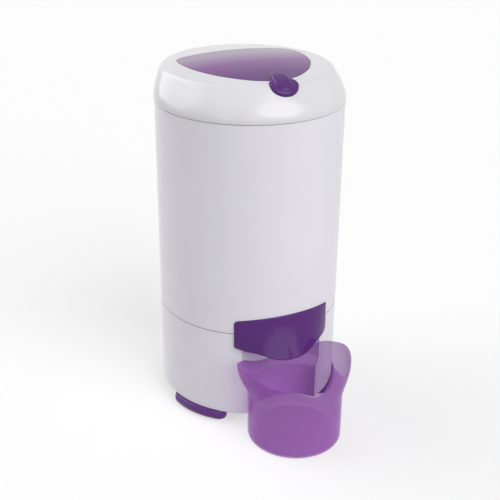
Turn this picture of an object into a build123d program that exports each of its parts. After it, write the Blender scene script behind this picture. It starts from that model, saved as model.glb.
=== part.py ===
from build123d import *
import math
import os

# A portable spin dryer: a round two-piece housing with a hinged lid on top, a perforated
# drum turning in a closed tub, a motor hung on rubber buffers below it, and a niche at the
# front foot of the housing where a separate water cup stands under the drain spout.
# Everything is modelled about the housing's axis, front towards -Y, with the floor at z = 0.
# At the end each piece is moved along Y, so that the frame's origin is the middle of the footprint.
# Angles around the axis are azimuths in degrees, counted from the front towards +X.

# Overall sizes
body_r = 172.5
body_wall = 2.6
foot_height = 22.0
mid_seam_z = 195.8
lid_seam_z = 591.0
lid_rise = 67.5

# Clearances
seat = 0.15
run = 0.04
free = 0.6
seam_gap = 0.5
over = 1.0

# Lower housing, its niche for the cup, and the lugs that join the two housings
niche_stand = 40.9
niche_room = 4.2
niche_widening = 9.5
niche_flare_low_z = 92.0
niche_flare_high_z = 110.0
niche_top_z = 186.0
niche_wall = 2.5
lug_r = 6.5
lug_height = 11.0
lug_azimuths = (72.0, 180.0, 288.0)
spigot_height = 6.0
spigot_wall = 2.0
bottom_round = 2.0
wall_vent_width = 4.0
wall_vent_height = 34.0
wall_vent_z = 62.0
wall_vent_azimuths = (132.0, 138.0, 144.0, 216.0, 222.0, 228.0)

# Top collar, the deck under the lid
deck_drop = 3.0
deck_wall = 2.5
throat_cover = 16.0
throat_depth = 11.0
collar_skirt = 15.0
throat_round = 1.2

# Catch tub
tub_room = 26.9
tub_wall = 2.5
tub_flange = 7.0
tub_flange_height = 3.0
tub_gasket_width = 4.0
tub_gasket_height = 3.0
tub_neck_r = 40.0
tub_neck_top_z = 238.0
tub_floor_in_z = 224.0
tub_floor_out_z = 218.0

# Drain spout
spout_inset = 11.5
spout_bore_r = 8.5
spout_wall = 2.4
spout_end_z = 173.0
spout_flange = 7.0
spout_flange_height = 3.0

# Hood over the drain, given by three level circles and a shield outline
hood_half_width = 94.0
hood_top_z = 229.0
hood_corner_z = 222.0
hood_side_low_z = 169.0
hood_low_z = 150.0
hood_wall = 2.6
hood_top_lift = 2.6
hood_mid_z = 190.0
hood_mid_stand = 13.5
hood_mid_drop = 34.8
hood_base_z = 130.0
hood_base_stand = 34.5
hood_base_drop = 64.8
hood_corner_round = 8.0
hood_low_x_shares = (0.83, 0.62, 0.40)
hood_low_z_shares = (0.84, 0.66, 0.27)

# Base pan with its pillars
pan_thick = 3.0
pan_vent_width = 4.0
pan_vent_length = 26.0
pan_vent_r = 66.0
pan_vent_count = 12
pillar_r = 13.0
pillar_stand = 37.0
pillar_top_z = 88.0
pillar_azimuths = (60.0, 180.0, 300.0)

# Feet, each a segment of a disc set off from the axis
foot_overhang = 5.0
foot_disc_drop = 30.5
foot_depth = 34.5
foot_corner_r = 16.0
foot_round = 7.0
foot_azimuths = {"foot_front_left": -60.0, "foot_front_right": 60.0, "foot_rear": 180.0}
foot_screw_inset = 15.5
foot_screw_spread = 20.0
screw_r = 2.0
screw_head_r = 4.0
screw_head_height = 2.4
screw_sink = 12.0

# Motor, standing on the carrier that the buffers hold
buffer_r = 12.0
buffer_height = 15.0
carrier_thick = 4.0
carrier_rim = 10.0
carrier_arm_width = 28.0
carrier_window_r = 32.0
bolt_r = 3.0
bolt_head_r = 6.0
bolt_head_height = 4.0
bolt_grip = 9.0
motor_r = 68.0
motor_wall = 3.0
motor_height = 80.0
motor_plate = 4.0
motor_slot_width = 10.0
motor_slot_height = 44.0
motor_slot_count = 8
bearing_r = 20.0
bearing_width = 12.0
bearing_lip = 2.0
bearing_boss_wall = 4.0
shaft_r = 8.5
stator_height = 45.0
air_gap = 0.6
stator_depth = 25.0
rotor_height = 47.0
coil_height = 11.0
coil_inset = 3.0

# Fan and brake drum below the motor
fan_r = 58.0
fan_height = 9.0
fan_plate = 1.5
fan_hub_r = 16.0
fan_blade = 1.6
fan_blade_count = 9
fan_gap = 3.0
brake_drum_r = 42.0
brake_drum_height = 16.0
brake_drum_wall = 4.0
brake_drum_gap = 5.0
shaft_tail = 5.0

# Bellows between the tub's neck and the motor
bellows_wall = 2.5
bellows_cuff = 12.0

# Drum, hub and what turns with them
drum_room = 23.0
drum_wall = 1.2
drum_bottom_z = 252.0
drum_top_gap = 22.0
drum_bottom_round = 14.0
drum_lip = 10.0
hole_r = 4.0
hole_rows = 7
holes_per_row = 16
hub_flange_r = 52.0
hub_flange_height = 4.0
hub_boss_r = 20.0
hub_boss_height = 12.0
hub_skirt_r = 48.0
hub_skirt_wall = 2.5
hub_skirt_depth = 18.0
nut_r = 13.0
nut_height = 9.0
cap_r = 38.0
cap_height = 24.0
cap_wall = 2.0
cap_round_share = 0.8
cap_hollow_round_share = 0.7
ring_width = 15.0
ring_height = 6.0

# Lid shell: circles that span from a front profile to a back profile, under a domed crown
lid_overhang = 1.0
lid_gap = 1.2
lid_wall = 3.0
lid_front_shares = (1.0, 0.986, 0.865, 0.738)
lid_back_shares = (1.0, 1.0, 0.994, 0.974)
lid_height_shares = (0.0, 0.21, 0.636, 1.11)
lid_crown_r = 1300.0
lid_crown_y = 30.0
lid_shoulder_round = 17.0

# Tinted inlay let into the lid's top, an outline of arcs symmetric about X = 0
inlay_corner_shares = (0.657, 0.455)
inlay_side_shares = (0.496, -0.375)
inlay_back_share = 0.536
inlay_front_share = -0.7435
inlay_gap = 0.8
inlay_thick = 1.8
inlay_corner_round = 28.0
inlay_front_round = 80.0

# Liner, gasket and screws of the lid
liner_inset = 9.5
liner_lift = 3.0
liner_wall = 2.5
liner_dish_margin = 8.0
liner_dish_rise = 18.0
liner_rib_room = 4.0
liner_rib_depth = 9.0
liner_rib_wall = 2.5
lid_gasket_inset = 7.0
lid_gasket_width = 8.0
lid_boss_r = 6.0
lid_boss_inset = 25.5
lid_boss_azimuths = (50.0, 130.0, 230.0, 310.0)

# Hinge at the back
hinge_stand = 6.7
hinge_knuckle_r = 5.0
hinge_pin_r = 2.5
hinge_leaf = 2.0
hinge_leaf_height = 26.0
lid_leaf_share = 0.6
hinge_knuckle_length = 18.0
hinge_lid_length = 40.0
hinge_gap = 0.5

# Latch lever with its knob on the lid's front slope
latch_setback = 37.5
latch_rise = 40.0
latch_pin_r = 2.5
latch_hub_r = 6.0
latch_width = 14.0
latch_ear = 4.0
latch_slot_gap = 1.6
latch_swing = 6.0
hook_width = 8.0
hook_inset = 16.5
hook_thick = 4.0
hook_drop = 11.0
hook_clear = 1.5
hook_room = 8.0
catch_wall = 1.8
catch_width = 26.0
catch_margin = 3.0
knob_front_reach = 19.5
knob_half_width = 27.0
knob_half_length = 18.5
knob_base_drop = 3.0
tongue_reach = 34.0
tongue_back_r = 13.0
tongue_front_r = 15.0
knob_tilt = 21.8
knob_crown_r = 90.0
knob_crown_shift = 5.0
knob_crown_rise = 24.0
knob_round = 3.5
knob_gap = 0.8
neck_half_width = 7.0
neck_length = 18.0

# Brake: a push rod beside the tub, and a lever with a pad at the brake drum
rod_r = 3.0
rod_room = 9.9
rod_azimuth = 40.0
rod_foot_z = 66.0
rod_foot_r = 6.0
rod_foot_height = 4.0
clip_wall = 3.0
clip_height = 12.0
clip_z_shares = (0.28, 0.78)
lever_stand = 14.4
lever_pivot_z = 44.0
lever_pin_r = 3.0
lever_hub_r = 7.0
lever_width = 12.0
lever_thick = 5.0
pad_thick = 5.0
pad_height = 11.0
pad_width = 26.0
pad_gap = 2.6
bracket_wall = 3.0
bracket_gap = 0.5

# Safety switch under the deck
switch_azimuth = 20.0
switch_room = 10.4
switch_width = 30.0
switch_depth = 12.0
switch_height = 22.0
button_r = 2.6
button_stand = 0.4

# Electric parts on the base pan
capacitor_r = 17.0
capacitor_length = 62.0
capacitor_room = 37.9
capacitor_azimuth = 118.0
capacitor_tag_share = 1.15
strap_wall = 1.5
strap_width = 12.0
strap_foot = 12.0
terminal_length = 44.0
terminal_depth = 18.0
terminal_height = 16.0
terminal_room = 31.9
terminal_azimuth = 212.0
terminal_poles = 4
terminal_hole_share = 0.35
terminal_well_share = 0.75
gland_azimuth = 152.0
gland_z = 46.0
gland_r = 8.0
gland_flange_r = 11.0
gland_flange = 2.5
gland_bore_r = 4.0
gland_depth = 12.0

# Water cup: straight up to the flare, then out to a plan with an ear on either side. The
# edge's heights are given along X, apart for the front half and the back half.
cup_base_r = 87.3
cup_rim_r = 106.5
cup_crest_z = 182.0
cup_wall = 2.2
cup_floor = 2.6
cup_base_round = 6.0
cup_flare_z = 90.0
cup_flare_z_shares = (0.0, 0.24, 0.5, 0.75, 1.06)
cup_growth_shares = (0.0, 0.46, 0.97, 1.0, 0.98)
cup_plan_azimuths = (0, 30, 50, 68, 85, 105, 130, 155, 180, 205, 222, 235, 248, 262, 280, 305, 332)
cup_plan_shares = (0.836, 0.859, 0.901, 0.944, 0.944, 0.901, 0.862, 0.860, 0.866, 0.868, 0.890,
                   0.932, 1.0, 0.981, 0.930, 0.883, 0.845)
cup_left_x_shares = (-1.06, -0.975, -0.93, -0.83, -0.64, -0.46, -0.33, -0.215, -0.11, 0.04, 0.16, 0.23, 0.272)
cup_left_z_shares = (0.857, 0.863, 0.852, 0.819, 0.794, 0.780, 0.769, 0.747, 0.720, 0.720, 0.786, 0.868, 1.0)
cup_right_x_shares = (0.272, 0.352, 0.43, 0.535, 0.64, 0.75, 0.86, 0.941, 1.06)
cup_right_z_shares = (1.0, 0.951, 0.885, 0.808, 0.775, 0.808, 0.874, 0.918, 0.934)
cup_back_x_shares = (-1.06, -0.975, -0.92, -0.74, -0.62, -0.42, -0.19, 0.0, 0.19, 0.42, 0.56, 0.69, 0.80,
                     0.90, 0.941, 1.06)
cup_back_z_shares = (0.868, 0.863, 0.824, 0.775, 0.731, 0.659, 0.624, 0.618, 0.626, 0.687, 0.747, 0.802,
                     0.852, 0.891, 0.918, 0.934)

# Places that follow from the sizes above
inner_r = body_r - body_wall
niche_y = -body_r - niche_stand
niche_r = cup_base_r + niche_room
niche_wide_r = niche_r + niche_widening
tub_r = inner_r - tub_room
spout_y = spout_inset - tub_r
drum_r = tub_r - drum_room
throat_r = drum_r - throat_cover
hood_mid_r = body_r - hood_mid_drop
hood_mid_y = hood_mid_r - body_r - hood_mid_stand
hood_base_r = body_r - hood_base_drop
hood_base_y = hood_base_r - body_r - hood_base_stand
foot_disc_r = body_r - foot_disc_drop
foot_disc_offset = body_r + foot_overhang - foot_disc_r
foot_chord = body_r - foot_depth
foot_screw_place_r = body_r - foot_screw_inset
pillar_place_r = motor_r + pillar_stand
carrier_r = motor_r + carrier_rim
rotor_r = motor_r - motor_wall - stator_depth
rod_place_r = inner_r - rod_room
switch_place_r = inner_r - switch_room
capacitor_place_r = inner_r - capacitor_room
terminal_place_r = inner_r - terminal_room
lever_pivot_r = brake_drum_r + pad_gap + pad_thick + lever_stand
deck_z = lid_seam_z - deck_drop
drum_top_z = deck_z - drum_top_gap
carrier_z = pillar_top_z + buffer_height
motor_z = carrier_z + carrier_thick
bell_z = motor_z + motor_height
bell_top_z = bell_z + motor_plate
lower_bearing_z = motor_z + bearing_lip
upper_bearing_z = bell_z + bearing_lip
boss_r = bearing_r + bearing_boss_wall
boss_top_z = upper_bearing_z + bearing_width + bearing_lip
stator_z = motor_z + (motor_height - stator_height) / 2
fan_z = carrier_z - fan_gap - fan_height
brake_z = fan_z - brake_drum_gap - brake_drum_height
tub_top_z = deck_z - deck_wall - tub_gasket_height
liner_z = lid_seam_z + liner_lift
lid_low_z = lid_seam_z + lid_gap / 2
lid_top_z = lid_seam_z + lid_rise
lid_r = body_r + lid_overhang
liner_r = lid_r - liner_inset
liner_rib_r = throat_r - liner_rib_room
liner_dish_r = liner_rib_r - liner_dish_margin
lid_gasket_r = tub_r - lid_gasket_inset
lid_boss_place_r = lid_r - lid_boss_inset
hinge_y = lid_r + hinge_stand
latch_pivot_y = latch_setback - body_r
latch_pivot_z = lid_seam_z + latch_rise
hook_front_y = hook_inset - body_r
hook_low_z = deck_z - hook_drop
knob_front_y = latch_pivot_y - knob_front_reach
tongue_back_y = latch_pivot_y + tongue_reach
footprint_back = hinge_y + hinge_knuckle_r
footprint_front = cup_rim_r * cup_plan_shares[0] - niche_y
axis_y = (footprint_front - footprint_back) / 2


def around(r, azimuth):
    """The x and y of a place at radius r, at an azimuth counted from the front."""
    turn = math.radians(azimuth)
    return (r * math.sin(turn), -r * math.cos(turn))


def disc(r, low, high, place=(0, 0)):
    """A solid upright cylinder between two heights."""
    solid = Cylinder(r, high - low, align=(Align.CENTER, Align.CENTER, Align.MIN))
    return Pos(place[0], place[1], low) * solid


def tube(r_out, r_in, low, high, place=(0, 0)):
    """An upright cylinder with a bore through it."""
    return disc(r_out, low, high, place) - disc(r_in, low - over, high + over, place)


def spun(points):
    """A solid of revolution about Z from a closed outline of (radius, height) points."""
    return revolve(Plane.XZ * make_face(Polyline(*points, close=True)), Axis.Z)


def block(x_size, y_size, low, high, place=(0, 0), turn=0.0):
    """An upright box between two heights, turned about Z."""
    box = Box(x_size, y_size, high - low, align=(Align.CENTER, Align.CENTER, Align.MIN))
    return Pos(place[0], place[1], low) * Rot(0, 0, turn) * box


def hexagon(r, low, high, place=(0, 0)):
    """An upright hexagonal prism."""
    return Pos(place[0], place[1], low) * extrude(RegularPolygon(r, 6), high - low)


def joined(solids):
    """Several separate solids as one shape."""
    return Compound(list(solids))


def cut_plate(points, width):
    """A plate of a given width across X, from a closed outline of (y, z) points."""
    face = make_face(Plane.YZ * Polyline(*points, close=True))
    return extrude(face, width / 2, both=True)


def radial(shape, azimuth):
    """Turn a shape made in the X-Z plane, with +X outwards, to lie at an azimuth."""
    return Rot(0, 0, azimuth - 90) * shape


def bar(r, length, y, z, middle_x=0.0):
    """A round bar along X."""
    return Pos(middle_x, y, z) * Rot(0, 90, 0) * Cylinder(r, length)


# Housing


def lug(azimuth, low, high):
    """A screw lug on the inside of the housing wall."""
    return disc(lug_r, low, high, around(inner_r - lug_r + body_wall / 2, azimuth))


def lug_place(azimuth):
    return around(inner_r - lug_r + body_wall / 2, azimuth)


def gland_cut(r, start, end):
    """A radial cylinder at the cord gland's place."""
    cylinder = Rot(0, 90, 0) * Cylinder(r, end - start)
    return radial(Pos((start + end) / 2, 0, gland_z) * cylinder, gland_azimuth)


def niche_form(grow, low):
    """The niche's space, grown by a distance, from a given height up: wider above for the cup's ears."""
    narrow = niche_r + grow
    wide = niche_wide_r + grow
    top = niche_top_z + grow
    return Pos(0, niche_y, 0) * spun([
        (0, low),
        (narrow, low),
        (narrow, niche_flare_low_z),
        (wide, niche_flare_high_z),
        (wide, top),
        (0, top),
    ])


def make_lower_housing():
    top = mid_seam_z - seam_gap
    shell = disc(body_r, foot_height, top)
    shell = fillet(shell.edges().sort_by(Axis.Z)[0], bottom_round)
    shell -= disc(inner_r, foot_height - over, top + over)
    for azimuth in lug_azimuths:
        shell += lug(azimuth, top - lug_height, top)
    shell -= niche_form(0, foot_height - over)
    for azimuth in lug_azimuths:
        shell -= disc(screw_r + seat, top - lug_height - over, top + over, lug_place(azimuth))
    for azimuth in wall_vent_azimuths:
        slot = Box(3 * body_wall, wall_vent_width, wall_vent_height)
        shell -= radial(Pos(body_r, 0, wall_vent_z) * slot, azimuth)
    return shell - gland_cut(gland_r + seat, inner_r - body_wall, body_r + body_wall)


def make_niche_liner():
    liner = niche_form(niche_wall, foot_height) - niche_form(0, foot_height - over)
    liner &= disc(inner_r - seat, foot_height, mid_seam_z)
    spout_r = spout_bore_r + spout_wall
    return liner - disc(spout_r + 2 * seat, niche_top_z - over, mid_seam_z, (0, spout_y))


def make_upper_housing():
    top = lid_seam_z - lid_gap / 2
    shell = tube(body_r, inner_r, mid_seam_z, top)
    spigot_r = inner_r - seat
    spigot = spun([
        (spigot_r - spigot_wall, mid_seam_z - spigot_height),
        (spigot_r, mid_seam_z - spigot_height),
        (spigot_r, mid_seam_z),
        (inner_r + body_wall / 2, mid_seam_z),
        (inner_r + body_wall / 2, mid_seam_z + spigot_height),
        (spigot_r - spigot_wall, mid_seam_z + spigot_height),
    ])
    for azimuth in lug_azimuths:
        spigot -= disc(lug_r + 2 * seat, mid_seam_z - spigot_height - over, mid_seam_z, lug_place(azimuth))
    shell += spigot
    for azimuth in lug_azimuths:
        shell += lug(azimuth, mid_seam_z, mid_seam_z + lug_height)
    for azimuth in lug_azimuths:
        shell -= disc(screw_r + seat, mid_seam_z - over, mid_seam_z + lug_height + over, lug_place(azimuth))
    return shell


def make_housing_screws():
    low = mid_seam_z - seam_gap - lug_height
    screws = []
    for azimuth in lug_azimuths:
        place = lug_place(azimuth)
        head = disc(screw_head_r, low - screw_head_height, low, place)
        screws.append(head + disc(screw_r, low, mid_seam_z + lug_height - over, place))
    return joined(screws)


def hook_slot(low, high):
    """The slot that the hook passes through and swings in."""
    front = hook_front_y - hook_room
    back = hook_front_y + hook_thick + hook_clear
    return block(hook_width + 2 * hook_clear, back - front, low, high, (0, (front + back) / 2))


def make_top_collar():
    skirt_r = inner_r - seat
    low = deck_z - collar_skirt
    collar = spun([
        (skirt_r, low),
        (skirt_r, deck_z),
        (throat_r, deck_z),
        (throat_r, deck_z - throat_depth),
        (throat_r + deck_wall, deck_z - throat_depth),
        (throat_r + deck_wall, deck_z - deck_wall),
        (skirt_r - deck_wall, deck_z - deck_wall),
        (skirt_r - deck_wall, low),
    ])
    rims = collar.edges().filter_by(GeomType.CIRCLE)
    rims = rims.filter_by(lambda e: abs(e.radius - throat_r) < seat and e.center().Z > deck_z - seat)
    collar = fillet(rims, throat_round)
    collar -= hook_slot(deck_z - deck_wall - over, deck_z + over)
    rod = around(rod_place_r, rod_azimuth)
    button = around(switch_place_r, switch_azimuth)
    collar -= disc(rod_r + free, deck_z - deck_wall - over, deck_z + over, rod)
    collar -= disc(button_r + free, deck_z - deck_wall - over, deck_z + over, button)
    for place in switch_screw_places():
        collar -= disc(screw_r + seat, deck_z - deck_wall - over, deck_z + over, place)
        collar -= disc(screw_head_r + seat, deck_z - screw_head_height / 2, deck_z + over, place)
    return collar


def make_latch_catch():
    top = deck_z - deck_wall - seat
    front = hook_front_y - hook_room - catch_margin
    back = hook_front_y + hook_thick + hook_clear + catch_margin
    plate = block(catch_width, back - front, top - catch_wall, top, (0, (front + back) / 2))
    plate &= disc(inner_r - 2 * seat - deck_wall, top - catch_wall, top)
    return plate - hook_slot(top - catch_wall - over, top + over)


def make_tub():
    low = tub_floor_out_z - tub_wall
    flange_r = tub_r + tub_flange
    return spun([
        (tub_r - tub_wall, low),
        (tub_r, low),
        (tub_r, tub_top_z - tub_flange_height),
        (flange_r, tub_top_z - tub_flange_height),
        (flange_r, tub_top_z),
        (tub_r - tub_wall, tub_top_z),
    ])


def make_tub_floor():
    edge_r = tub_r - tub_wall
    floor = spun([
        (tub_neck_r, tub_neck_top_z),
        (tub_neck_r, tub_floor_in_z - tub_wall),
        (edge_r, tub_floor_out_z - tub_wall),
        (edge_r, tub_floor_out_z),
        (tub_neck_r + tub_wall, tub_floor_in_z),
        (tub_neck_r + tub_wall, tub_neck_top_z),
    ])
    slot_half = tub_r + spout_y + spout_bore_r
    slot_low = tub_floor_out_z - 2 * tub_wall
    return floor - block(2 * spout_bore_r, 2 * slot_half, slot_low, tub_floor_in_z + over, (0, -tub_r))


def make_tub_gasket():
    inner = tub_r - tub_wall
    return tube(inner + tub_gasket_width, inner, tub_top_z, deck_z - deck_wall)


def make_drain_spout():
    spout_r = spout_bore_r + spout_wall
    flange_low = tub_floor_out_z - tub_wall - spout_flange_height
    spout = disc(spout_r, spout_end_z, tub_floor_in_z, (0, spout_y))
    collar = disc(spout_r + spout_flange, flange_low, tub_floor_in_z, (0, spout_y))
    spout += collar & disc(tub_r, flange_low, tub_floor_in_z)
    spout -= spun([
        (tub_neck_r, tub_floor_in_z - tub_wall - seat),
        (tub_r - tub_wall, tub_floor_out_z - tub_wall - seat),
        (tub_r + over, tub_floor_out_z - tub_wall - seat),
        (tub_r + over, tub_floor_in_z + over),
        (tub_neck_r, tub_floor_in_z + over),
    ])
    return spout - disc(spout_bore_r, spout_end_z - over, tub_floor_in_z + over, (0, spout_y))


def shield(inset):
    """The hood's outline seen from the front, drawn in by an inset."""
    half = hood_half_width - inset
    drop = hood_side_low_z - hood_low_z
    low = hood_low_z + inset
    right = [(half * x, low + drop * z) for x, z in zip(hood_low_x_shares, hood_low_z_shares)]
    side = [(half, hood_side_low_z + inset), (half, hood_corner_z - inset)]
    left = [(-x, z) for x, z in right]
    with BuildSketch(Plane.XZ.offset(-hood_base_y)) as sketch:
        with BuildLine():
            Spline(side[0], *right, (0, low), *reversed(left), (-half, side[0][1]))
            Line(side[0], side[1])
            ThreePointArc(side[1], (0, hood_top_z - inset), (-half, side[1][1]))
            Line((-half, side[1][1]), (-half, side[0][1]))
        make_face()
        top_corners = sketch.vertices().sort_by(Axis.Z)[-2:]
        fillet(top_corners, hood_corner_round)
    return extrude(sketch.sketch, body_r)


def hood_form(inset):
    """The solid under the hood's outer face, drawn in by an inset."""
    base = Pos(0, hood_base_y, hood_base_z) * Circle(hood_base_r - inset)
    middle = Pos(0, hood_mid_y, hood_mid_z) * Circle(hood_mid_r - inset)
    top = Pos(0, 0, hood_top_z + over) * Circle(body_r + hood_top_lift - inset)
    return loft([base, middle, top])


def make_spout_hood():
    outline = shield(0)
    inner_half = hood_half_width - hood_wall
    skin = (outline & hood_form(0)) - hood_form(hood_wall)
    frame = (outline & hood_form(0)) - shield(hood_wall)
    frame -= block(2 * inner_half, body_r, hood_base_z, hood_side_low_z, (0, -body_r))
    hood = skin + frame
    hood -= disc(body_r + seat, foot_height, lid_seam_z)
    solids = hood.solids().sort_by(SortBy.VOLUME)
    return solids[-1]


def make_base_pan():
    top = foot_height + pan_thick
    pan = disc(inner_r - seat, foot_height, top)
    for azimuth in pillar_azimuths:
        pan += disc(pillar_r, foot_height, pillar_top_z, around(pillar_place_r, azimuth))
    pan -= disc(niche_r + niche_wall + seat, foot_height - over, niche_top_z, (0, niche_y))
    for index in range(pan_vent_count):
        vent = Box(pan_vent_length, pan_vent_width, 4 * pan_thick)
        pan -= radial(Pos(pan_vent_r, 0, foot_height) * vent, (index + 0.5) * 360 / pan_vent_count)
    for azimuth in foot_azimuths.values():
        for place in foot_screw_places(azimuth):
            pan -= disc(screw_r + seat, foot_height - over, top + over, place)
    return pan


def foot_screw_places(azimuth):
    """The two screw places of a foot, side by side."""
    spread = math.degrees(math.asin(foot_screw_spread / foot_screw_place_r))
    return [around(foot_screw_place_r, azimuth + side * spread) for side in (-1, 1)]


def make_foot(azimuth):
    foot = disc(foot_disc_r, 0, foot_height, (foot_disc_offset, 0))
    foot -= block(4 * foot_disc_r, 4 * foot_disc_r, -over, foot_height + over, (foot_chord - 2 * foot_disc_r, 0))
    corners = foot.edges().filter_by(Axis.Z).group_by(Axis.X)[0]
    foot = fillet(corners, foot_corner_r)
    foot = radial(fillet(foot.edges().group_by(Axis.Z)[0], foot_round), azimuth)
    for place in foot_screw_places(azimuth):
        foot -= disc(screw_r + seat, -over, foot_height + over, place)
        foot -= disc(screw_head_r + seat, -over, screw_sink, place)
    return foot


def make_foot_screws():
    screws = []
    for azimuth in foot_azimuths.values():
        for place in foot_screw_places(azimuth):
            head = disc(screw_head_r, screw_sink - screw_head_height, screw_sink, place)
            screws.append(head + disc(screw_r, screw_sink, foot_height + pan_thick, place))
    return joined(screws)


# Motor


def buffer_places():
    return [around(pillar_place_r, azimuth) for azimuth in pillar_azimuths]


def make_motor_buffers():
    hole_low = carrier_z - bolt_grip - seat
    buffers = []
    for place in buffer_places():
        rubber = disc(buffer_r, pillar_top_z, carrier_z, place)
        buffers.append(rubber - disc(bolt_r + seat, hole_low, carrier_z + over, place))
    return joined(buffers)


def make_buffer_bolts():
    bolts = []
    for place in buffer_places():
        head = hexagon(bolt_head_r, motor_z, motor_z + bolt_head_height, place)
        bolts.append(head + disc(bolt_r, carrier_z - bolt_grip, motor_z, place))
    return joined(bolts)


def make_motor_carrier():
    carrier = disc(carrier_r, carrier_z, motor_z)
    for azimuth in pillar_azimuths:
        arm = block(pillar_place_r, carrier_arm_width, carrier_z, motor_z, (pillar_place_r / 2, 0))
        carrier += radial(arm, azimuth)
        carrier += disc(carrier_arm_width / 2, carrier_z, motor_z, around(pillar_place_r, azimuth))
    carrier -= disc(carrier_window_r, carrier_z - over, motor_z + over)
    for place in buffer_places():
        carrier -= disc(bolt_r + seat, carrier_z - over, motor_z + over, place)
    return carrier


def make_motor_casing():
    seat_r = bearing_r + seat
    casing = spun([
        (shaft_r + motor_wall, motor_z),
        (motor_r, motor_z),
        (motor_r, bell_z),
        (motor_r - motor_wall, bell_z),
        (motor_r - motor_wall, motor_z + motor_plate),
        (boss_r, motor_z + motor_plate),
        (boss_r, lower_bearing_z + bearing_width),
        (seat_r, lower_bearing_z + bearing_width),
        (seat_r, lower_bearing_z),
        (shaft_r + motor_wall, lower_bearing_z),
    ])
    middle_z = motor_z + motor_height / 2
    for index in range(motor_slot_count):
        slot = Box(3 * motor_wall, motor_slot_width, motor_slot_height)
        casing -= radial(Pos(motor_r, 0, middle_z) * slot, index * 360 / motor_slot_count)
    return casing


def make_motor_bell():
    seat_r = bearing_r + seat
    return spun([
        (seat_r, bell_z),
        (motor_r, bell_z),
        (motor_r, bell_top_z),
        (boss_r, bell_top_z),
        (boss_r, boss_top_z),
        (shaft_r + motor_wall, boss_top_z),
        (shaft_r + motor_wall, boss_top_z - bearing_lip),
        (seat_r, boss_top_z - bearing_lip),
    ])


def make_bearing(low):
    """A deep groove bearing: two rings and the shields between them, as one solid."""
    ring = tube(bearing_r, shaft_r + run, low, low + bearing_width)
    groove_in = shaft_r + (bearing_r - shaft_r) / 3
    groove_out = bearing_r - (bearing_r - shaft_r) / 3
    for z in (low, low + bearing_width):
        ring -= tube(groove_out, groove_in, z - bearing_lip / 2, z + bearing_lip / 2)
    return ring


def make_stator_core():
    outer = motor_r - motor_wall - seat
    return tube(outer, rotor_r + air_gap, stator_z, stator_z + stator_height)


def make_stator_windings():
    outer = motor_r - motor_wall - coil_inset
    inner = rotor_r + air_gap + coil_inset
    coils = []
    for low in (stator_z - coil_height, stator_z + stator_height):
        coil = tube(outer, inner, low, low + coil_height)
        coils.append(fillet(coil.edges().filter_by(GeomType.CIRCLE), coil_inset))
    return joined(coils)


def make_rotor_core():
    low = stator_z - (rotor_height - stator_height) / 2
    return tube(rotor_r, shaft_r + seat, low, low + rotor_height)


def make_cooling_fan():
    plate_top = fan_z + fan_plate
    fan = disc(fan_r, fan_z, plate_top) + disc(fan_hub_r, fan_z, fan_z + fan_height)
    for index in range(fan_blade_count):
        length = fan_r - fan_hub_r + over
        blade = block(length, fan_blade, fan_z, fan_z + fan_height, (fan_r - length / 2 - over / 2, 0))
        fan += radial(blade, index * 360 / fan_blade_count)
    fan &= disc(fan_r, fan_z, fan_z + fan_height)
    return fan - disc(shaft_r + seat, fan_z - over, fan_z + fan_height + over)


def make_brake_drum():
    top = brake_z + brake_drum_height
    hub = shaft_r + seat + brake_drum_wall
    return spun([
        (shaft_r + seat, brake_z),
        (hub, brake_z),
        (hub, top - brake_drum_wall),
        (brake_drum_r - brake_drum_wall, top - brake_drum_wall),
        (brake_drum_r - brake_drum_wall, brake_z),
        (brake_drum_r, brake_z),
        (brake_drum_r, top),
        (shaft_r + seat, top),
    ])


def make_drum_shaft():
    top = drum_bottom_z + drum_wall + nut_height + over
    shaft = disc(shaft_r, brake_z - shaft_tail, top)
    return chamfer(shaft.edges().filter_by(GeomType.CIRCLE), over)


def make_shaft_bellows():
    cuff_r = tub_neck_r - seat
    inner = boss_r + seat
    low = bell_top_z + seat
    return spun([
        (cuff_r, tub_neck_top_z),
        (cuff_r, tub_neck_top_z - bellows_cuff),
        (inner + bellows_wall, boss_top_z + bellows_wall / 2),
        (inner + bellows_wall, low),
        (inner, low),
        (inner, boss_top_z + bellows_wall),
        (cuff_r - bellows_wall, tub_neck_top_z - bellows_cuff + bellows_wall / 2),
        (cuff_r - bellows_wall, tub_neck_top_z),
    ])


# Drum


def make_drum_shell():
    body = disc(drum_r, drum_bottom_z, drum_top_z)
    body = fillet(body.edges().sort_by(Axis.Z)[0], drum_bottom_round)
    hollow = disc(drum_r - drum_wall, drum_bottom_z + drum_wall, drum_top_z - drum_wall)
    hollow = fillet(hollow.edges().sort_by(Axis.Z)[0], drum_bottom_round - drum_wall)
    body -= hollow
    body -= disc(drum_r - drum_lip, drum_top_z - 2 * drum_wall, drum_top_z + over)
    body -= disc(shaft_r + seat, drum_bottom_z - over, drum_bottom_z + 2 * drum_wall)
    first = drum_bottom_z + 2 * drum_bottom_round
    pitch = (drum_top_z - first - drum_bottom_round) / hole_rows
    holes = []
    for row in range(hole_rows):
        for index in range(holes_per_row):
            azimuth = (index + (row % 2) / 2) * 360 / holes_per_row
            peg = extrude(Plane.YZ * RegularPolygon(hole_r, 6), 4 * drum_wall)
            place = Pos(drum_r - 2 * drum_wall, 0, first + (row + 0.5) * pitch)
            holes.append(radial(place * peg, azimuth))
    return body - holes


def make_drum_hub():
    flange_low = drum_bottom_z - hub_flange_height
    bore = shaft_r + seat
    return spun([
        (bore, drum_bottom_z),
        (bore, flange_low - hub_boss_height),
        (hub_boss_r, flange_low - hub_boss_height),
        (hub_boss_r, flange_low),
        (hub_skirt_r - hub_skirt_wall, flange_low),
        (hub_skirt_r - hub_skirt_wall, flange_low - hub_skirt_depth),
        (hub_skirt_r, flange_low - hub_skirt_depth),
        (hub_skirt_r, flange_low),
        (hub_flange_r, flange_low),
        (hub_flange_r, drum_bottom_z),
    ])


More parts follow.
